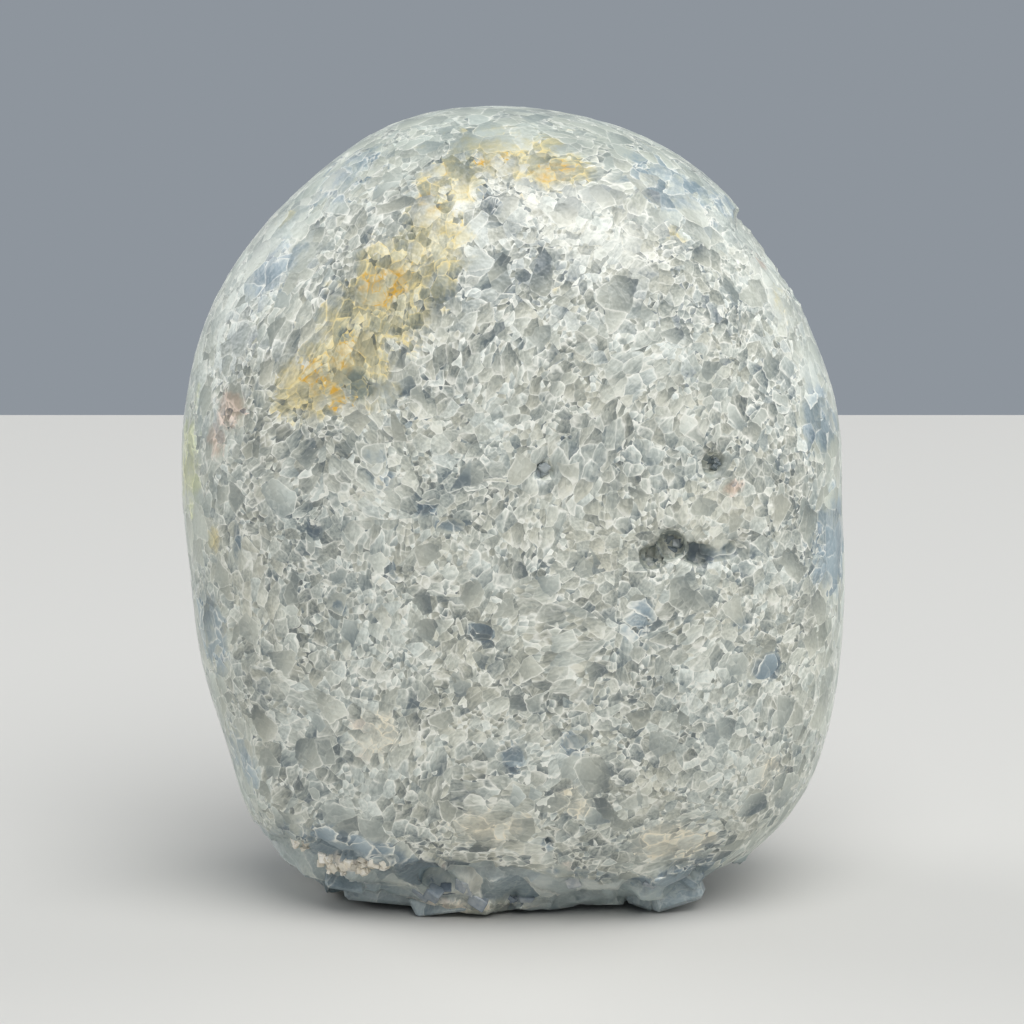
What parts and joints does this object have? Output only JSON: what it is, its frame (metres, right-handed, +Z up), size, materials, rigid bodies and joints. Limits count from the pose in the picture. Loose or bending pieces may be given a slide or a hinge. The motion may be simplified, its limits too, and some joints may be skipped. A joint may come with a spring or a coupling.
{
  "type": "celestite geode",
  "caption": "Free-standing ovoid of pale blue-grey celestite crystals grown together, polished all over above a rough, broken crystal base with a flat rest spot.",
  "frame": {"origin": "middle of the stone's footprint, on the plane of the flat spot that it rests on", "axes": "+Z up along the stone's height, +X to the right along its broad face, the broad front face towards -Y"},
  "size_m": [0.1012, 0.0706, 0.12],
  "materials": {
    "celestite": "polished translucent celestite, pale blue-grey grains with milky boundaries and ochre iron stains, rough at the base"
  },
  "bodies": {
    "root": {"celestite_body": "celestite"}
  },
  "joints": []
}
